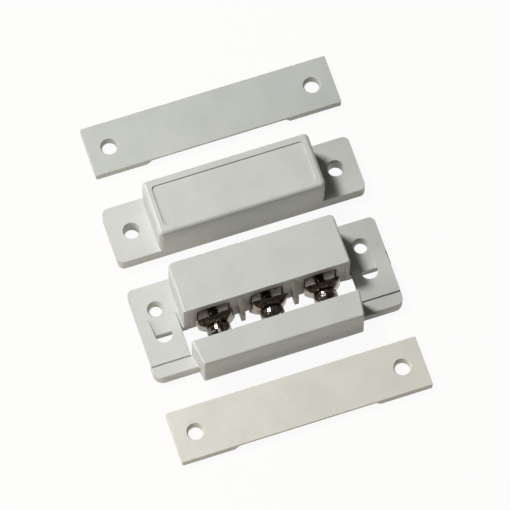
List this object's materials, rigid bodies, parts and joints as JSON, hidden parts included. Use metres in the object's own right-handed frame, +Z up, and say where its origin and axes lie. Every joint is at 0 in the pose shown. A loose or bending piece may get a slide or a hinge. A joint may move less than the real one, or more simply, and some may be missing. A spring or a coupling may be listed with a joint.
{
  "type": "surface magnetic contact",
  "caption": "Surface-mount reed contact laid out with its parts: switch unit with screw terminals and sliding cover, magnet unit, and spacer plates.",
  "frame": {"origin": "midway between the switch unit's two fixing holes, on the plane that all the units stand on", "axes": "+X along the units, +Y from the switch unit towards the magnet unit, +Z up off the mounting plane"},
  "size_m": [0.0666, 0.0908, 0.0138],
  "materials": {
    "unit_plastic": "fine satin moulded surface",
    "spacer_cream": "fine satin moulded surface, slightly creamier",
    "carrier_plastic": "matt moulded surface",
    "sealing_compound": "smooth cast resin",
    "cast_magnet": "rough cast",
    "reed_glass": "clear, slightly green",
    "reed_metal": "plated wire",
    "terminal_nickel": "dull nickel plate",
    "screw_nickel": "bright nickel plate"
  },
  "bodies": {
    "base": {"switch_housing": "unit_plastic", "terminal_carrier": "carrier_plastic", "magnet_housing": "unit_plastic", "rear_spacer": "unit_plastic", "front_spacer": "spacer_cream", "switch_potting": "sealing_compound", "magnet_potting": "sealing_compound", "bar_magnet": "cast_magnet", "reed_capsule": "reed_glass", "reed_blade_common": "reed_metal", "reed_blade_closed": "reed_metal", "reed_blade_open": "reed_metal", "terminal_plate_left": "terminal_nickel", "clamp_washer_left": "terminal_nickel", "terminal_screw_left": "screw_nickel", "terminal_plate_middle": "terminal_nickel", "clamp_washer_middle": "terminal_nickel", "terminal_screw_middle": "screw_nickel", "terminal_plate_right": "terminal_nickel", "clamp_washer_right": "terminal_nickel", "terminal_screw_right": "screw_nickel"},
    "cover": {"terminal_cover": "unit_plastic"}
  },
  "joints": [
    {"name": "cover_slide", "type": "slide", "parent": "base", "child": "cover", "axis": [0, 1, 0], "range_m": [-0.0046, 0.0068]}
  ]
}
